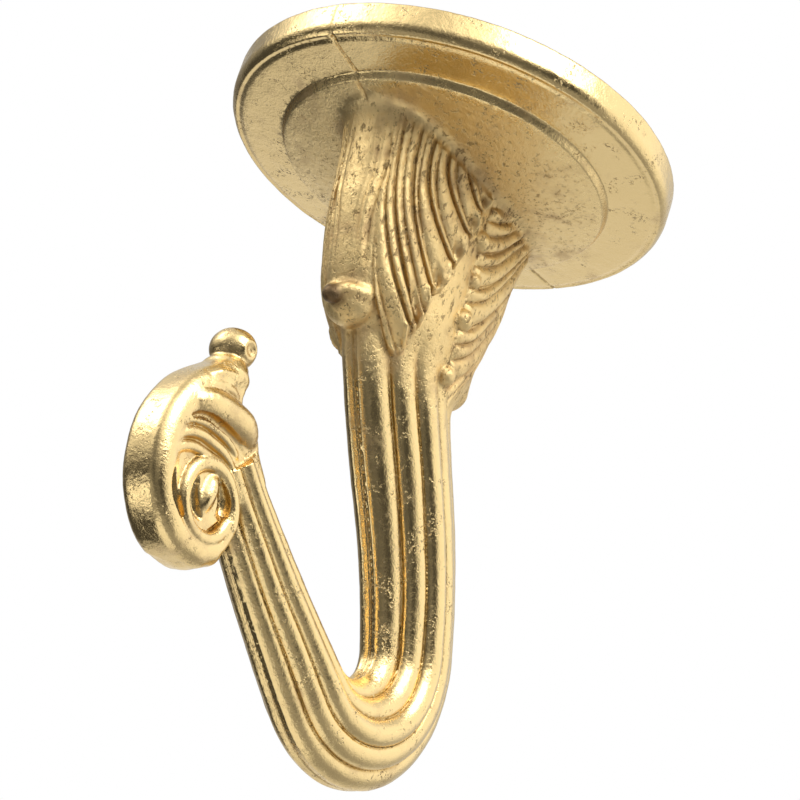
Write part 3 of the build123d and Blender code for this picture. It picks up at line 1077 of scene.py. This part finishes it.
def add_camera():
    """Camera below the hook, looking up at the underside of its disc."""
    camera = bpy.data.objects.new("Camera", bpy.data.cameras.new("Camera"))
    bpy.context.collection.objects.link(camera)
    right, up = Vector(CAMERA_RIGHT), Vector(CAMERA_UP)
    camera.matrix_world = Matrix((right, up, right.cross(up))).transposed().to_4x4()
    camera.location = CAMERA_PLACE
    camera.data.lens = CAMERA_LENS
    camera.data.sensor_width = CAMERA_FILM
    camera.data.clip_start = 0.01
    bpy.context.scene.camera = camera


# ---- add-on


class HookSizes(bpy.types.PropertyGroup):
    """Fineness of the casting"""

    cell: FloatProperty(
        name="Detail", description="Size of the smallest detail in the casting",
        default=0.00016, unit="LENGTH", min=0.0001, precision=5,
    )
    most_triangles: IntProperty(
        name="Triangles", description="Most triangles in the finished casting", default=195000, min=20000
    )


class HookFinish(bpy.types.PropertyGroup):
    """Colours and polish of the plating, and colours for painted shade in its hollows and at the toe"""

    brass: FloatVectorProperty(
        name="Brass", description="Clean brass plating",
        default=(0.88, 0.665, 0.32), subtype="COLOR", min=0, max=1,
    )
    tarnish: FloatVectorProperty(
        name="Tarnish", description="Dulled plating",
        default=(0.50, 0.35, 0.19), subtype="COLOR", min=0, max=1,
    )
    # Colour of painted shade and painted inter-reflection in hollows and grooves, not a colour of the plating
    # itself
    groove: FloatVectorProperty(
        name="Groove", description="Darkened plating in hollows",
        default=(0.56, 0.35, 0.085), subtype="COLOR", min=0, max=1,
    )
    # Colour of the casting pits, and also of the painted shade spot at the toe
    pit_and_toe_shade: FloatVectorProperty(
        name="Pit", description="Bottom of the casting pits",
        default=(0.13, 0.08, 0.045), subtype="COLOR", min=0, max=1,
    )
    polish: FloatProperty(
        name="Polish", description="Roughness of the clean plating, less for a brighter shine",
        default=0.14, subtype="FACTOR", min=0, max=1,
    )
    leaf_dullness: FloatProperty(
        name="Leaf dullness", description="Roughness that the cast leaves have beyond the rest",
        default=0.31, subtype="FACTOR", min=0, max=1,
    )
    grain: FloatProperty(
        name="Grain", description="Height of the fine grain in the cast skin",
        default=0.00006, unit="LENGTH", min=0, precision=6,
    )


class StudioSettings(bpy.types.PropertyGroup):
    """Light and floor of the studio"""

    brightness: FloatProperty(
        name="Surround", description="Brightness of the studio around the hook", default=1.18, min=0
    )
    key_power: FloatProperty(
        name="Key light", description="Power of the main light", default=0.9, min=0, unit="POWER"
    )
    side_share: FloatProperty(
        name="Side light", description="Power of the side light as a share of the main light",
        default=0.35, subtype="FACTOR", min=0, max=1,
    )
    floor: FloatVectorProperty(
        name="Floor", description="Colour of the floor",
        default=(0.85, 0.85, 0.84), subtype="COLOR", min=0, max=1,
    )


class SWAGHOOK_OT_casting(bpy.types.Operator):
    """Builds the whole hook as one casting"""

    bl_idname = "swaghook.casting"
    bl_label = "Build Casting"

    def execute(self, context):
        sizes = context.scene.swag_hook_sizes
        cell = sizes.cell / MM * 1.0
        casting = build_casting("swag_hook_casting", cell, sizes.most_triangles)
        casting.data.materials.clear()
        casting.data.materials.append(brass_material(context.scene.swag_hook_finish))
        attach(casting, "root")
        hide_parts("hook")
        return {"FINISHED"}


class SWAGHOOK_OT_studio(bpy.types.Operator):
    """Sets the floor, the lights, the white surround and the camera"""

    bl_idname = "swaghook.studio"
    bl_label = "Set Studio"

    def execute(self, context):
        settings = context.scene.swag_hook_studio
        centre = (Vector(cad_low) + Vector(cad_high)) / 2
        add_floor(settings.floor)
        context.scene.world = studio_world(settings.brightness)
        add_light("Key light", KEY_LIGHT, centre, KEY_SIZE, settings.key_power)
        add_light("Side light", SIDE_LIGHT, centre, SIDE_SIZE, settings.key_power * settings.side_share)
        add_camera()
        context.scene.view_settings.view_transform = "Standard"
        return {"FINISHED"}


class SWAGHOOK_PT_panel(bpy.types.Panel):
    """Settings and steps of the swag hook"""

    bl_idname = "SWAGHOOK_PT_panel"
    bl_label = "Swag Hook"
    bl_space_type = "VIEW_3D"
    bl_region_type = "UI"
    bl_category = "Swag Hook"

    def draw(self, context):
        scene = context.scene
        for settings in (scene.swag_hook_sizes, scene.swag_hook_finish, scene.swag_hook_studio):
            box = self.layout.box()
            for key in settings.bl_rna.properties.keys():
                if key not in ("rna_type", "name"):
                    box.prop(settings, key)
        for operator in (SWAGHOOK_OT_casting, SWAGHOOK_OT_studio):
            self.layout.operator(operator.bl_idname)


classes = (
    HookSizes,
    HookFinish,
    StudioSettings,
    SWAGHOOK_OT_casting,
    SWAGHOOK_OT_studio,
    SWAGHOOK_PT_panel,
)


def register():
    """Adds the classes and their settings to Blender."""
    for cls in classes:
        bpy.utils.register_class(cls)
    bpy.types.Scene.swag_hook_sizes = PointerProperty(type=HookSizes)
    bpy.types.Scene.swag_hook_finish = PointerProperty(type=HookFinish)
    bpy.types.Scene.swag_hook_studio = PointerProperty(type=StudioSettings)


def unregister():
    """Takes the settings and the classes out again."""
    del bpy.types.Scene.swag_hook_studio
    del bpy.types.Scene.swag_hook_finish
    del bpy.types.Scene.swag_hook_sizes
    for cls in reversed(classes):
        bpy.utils.unregister_class(cls)


def main():
    """Builds the hook and its studio."""
    register()
    bpy.ops.swaghook.casting()
    bpy.ops.swaghook.studio()


if __name__ == "__main__":
    main()
